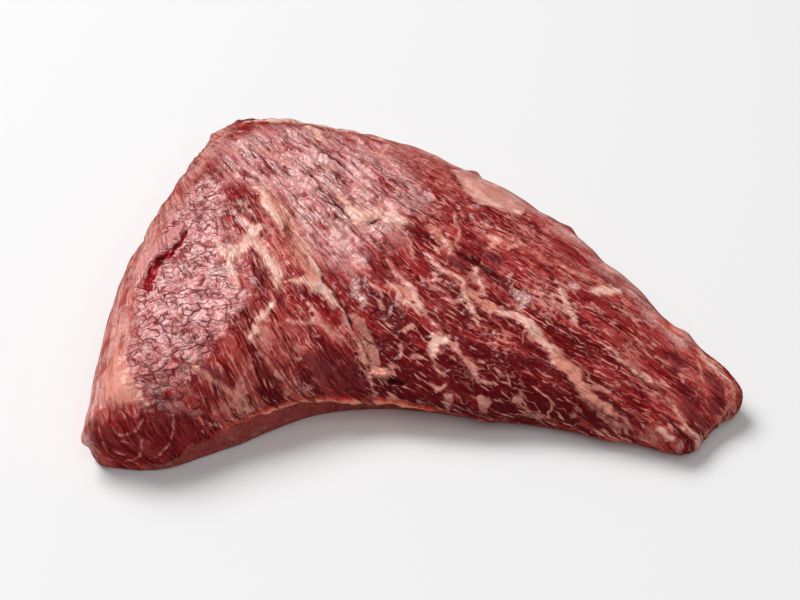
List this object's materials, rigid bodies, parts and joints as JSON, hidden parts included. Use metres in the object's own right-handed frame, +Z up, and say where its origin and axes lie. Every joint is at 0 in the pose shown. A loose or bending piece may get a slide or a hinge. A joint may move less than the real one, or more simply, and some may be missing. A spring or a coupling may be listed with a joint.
{
  "type": "raw tri-tip roast",
  "caption": "Raw three-cornered beef roast with a broad heel, a notched front edge and an arm that tapers to a narrow tip, lying on its flat side.",
  "frame": {"origin": "middle of the outline's box, on the surface that the roast lies on", "axes": "+Z up, out of the upper face; +X from the broad heel towards the narrow tip, along the longest side of the box; +Y towards the high back corner"},
  "size_m": [0.2818, 0.193, 0.0516],
  "materials": {
    "raw_beef": "moist, satin, marbled with pale fat"
  },
  "bodies": {
    "root": {"tri_tip_roast": "raw_beef"}
  },
  "joints": []
}
